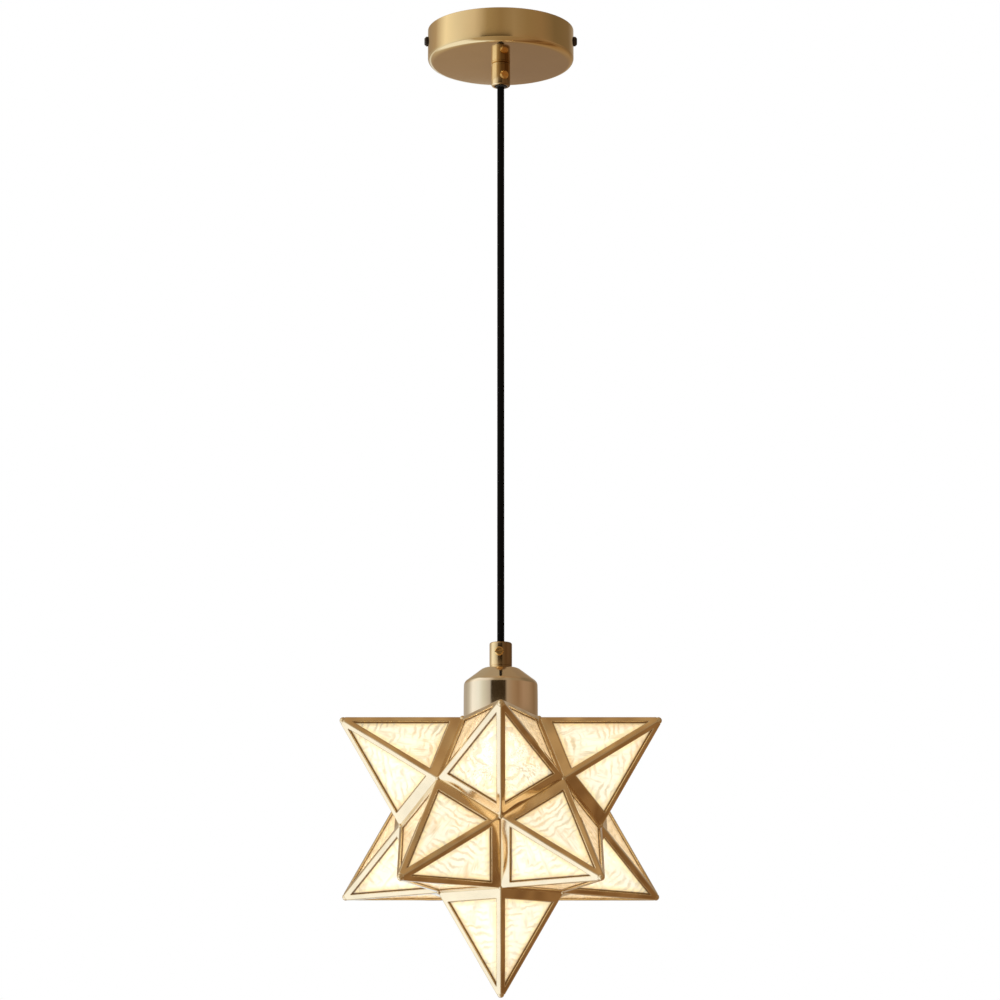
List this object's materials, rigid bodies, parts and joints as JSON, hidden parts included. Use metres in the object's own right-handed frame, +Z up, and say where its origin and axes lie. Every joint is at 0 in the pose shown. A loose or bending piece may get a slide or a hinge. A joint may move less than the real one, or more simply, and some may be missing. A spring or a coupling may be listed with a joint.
{
  "type": "moravian star pendant",
  "caption": "Star pendant lamp: round brass canopy, black cord, polished cup and a brass-framed star of rippled glass points round a screw-in globe bulb.",
  "frame": {"origin": "on the ceiling, at the middle of the bracket's top face, on the lamp's axis", "axes": "+Z up towards the ceiling, the lamp hangs towards -Z and its front faces -Y"},
  "size_m": [0.2106, 0.2212, 0.6612],
  "materials": {
    "canopy_brass": "satin",
    "grip_brass": "polished",
    "screw_brass": "polished",
    "screw_dark": "blackened",
    "cup_gold": "polished",
    "zinc_steel": "zinc plated",
    "white_plastic": "matt",
    "plain_brass": "plain",
    "nylon": "matt",
    "black_sheath": "satin",
    "brown_core": "matt",
    "blue_core": "matt",
    "earth_core": "matt",
    "porcelain": "matt",
    "black_plastic": "matt",
    "frame_brass": "polished",
    "rippled_glass": "rippled",
    "bulb_metal": "polished",
    "bulb_insulator": "glazed",
    "bulb_white": "matt",
    "opal_globe": "opal",
    "led_board": "matt"
  },
  "bodies": {
    "ceiling_fitting": {"ceiling_bracket": "zinc_steel", "canopy_shell": "canopy_brass", "canopy_side_screws": "screw_dark", "earth_screw": "zinc_steel", "terminal_block": "white_plastic", "terminal_barrels": "plain_brass", "terminal_screws": "zinc_steel", "canopy_nipple": "zinc_steel", "canopy_lock_nut": "zinc_steel", "canopy_cord_grip": "grip_brass", "canopy_grip_bush": "nylon", "canopy_grip_screw": "screw_brass", "canopy_cord_tail": "black_sheath", "supply_lead_live": "brown_core", "supply_lead_neutral": "blue_core", "supply_lead_earth": "earth_core"},
    "cord_bend": {"cord_bend": "black_sheath"},
    "hanging_cord": {"cord": "black_sheath"},
    "star_head": {"lamp_cord_grip": "grip_brass", "lamp_grip_bush": "nylon", "lamp_grip_screw": "screw_brass", "lamp_cord_tail": "black_sheath", "lamp_nipple": "zinc_steel", "lamp_lock_nut": "zinc_steel", "socket_cup": "cup_gold", "lampholder_cap": "plain_brass", "lampholder_earth_screw": "zinc_steel", "lampholder_insert": "porcelain", "lampholder_terminals": "plain_brass", "lampholder_screw_shell": "plain_brass", "lampholder_contact": "plain_brass", "lampholder_skirt": "black_plastic", "upper_shade_ring": "black_plastic", "lamp_lead_live": "brown_core", "lamp_lead_neutral": "blue_core", "lamp_lead_earth": "earth_core", "shade_ring": "black_plastic", "star_top_plate": "frame_brass", "upper_point_panes": "rippled_glass", "lower_point_panes": "rippled_glass", "bottom_point_panes": "rippled_glass", "pane_clips": "plain_brass", "upper_point_1_frame": "frame_brass", "upper_point_2_frame": "frame_brass", "upper_point_3_frame": "frame_brass", "upper_point_4_frame": "frame_brass", "upper_point_5_frame": "frame_brass", "lower_point_1_frame": "frame_brass", "lower_point_2_frame": "frame_brass", "lower_point_3_frame": "frame_brass", "lower_point_4_frame": "frame_brass", "lower_point_5_frame": "frame_brass", "bottom_point_frame": "frame_brass"},
    "bulb_contact": {"bulb_contact": "bulb_metal"},
    "bulb": {"bulb_insulator": "bulb_insulator", "bulb_cap": "bulb_metal", "bulb_collar": "bulb_white", "bulb_globe": "opal_globe", "bulb_led_board": "led_board"}
  },
  "joints": [
    {"name": "swing_front_back", "type": "hinge", "parent": "ceiling_fitting", "child": "cord_bend", "pos_m": [0, 0, -0.0432], "axis": [1, 0, 0], "range_deg": [-40, 40]},
    {"name": "swing_side", "type": "hinge", "parent": "cord_bend", "child": "hanging_cord", "pos_m": [0, 0, -0.0432], "axis": [0, 1, 0], "range_deg": [-40, 40]},
    {"name": "star_twist", "type": "hinge", "parent": "hanging_cord", "child": "star_head", "pos_m": [0, 0, -0.4265], "axis": [0, 0, 1], "range_deg": [-180, 180]},
    {"name": "bulb_travel", "type": "slide", "parent": "star_head", "child": "bulb_contact", "axis": [0, 0, -1], "range_m": [0, 0.0218]},
    {"name": "bulb_turn", "type": "hinge", "parent": "bulb_contact", "child": "bulb", "pos_m": [0, 0, -0.4615], "axis": [0, 0, -1], "range_deg": [0, 2160]}
  ],
  "couplings": [
    {"joint": "bulb_travel", "follows": "bulb_turn", "m_per_rad": 0.00057614}
  ]
}
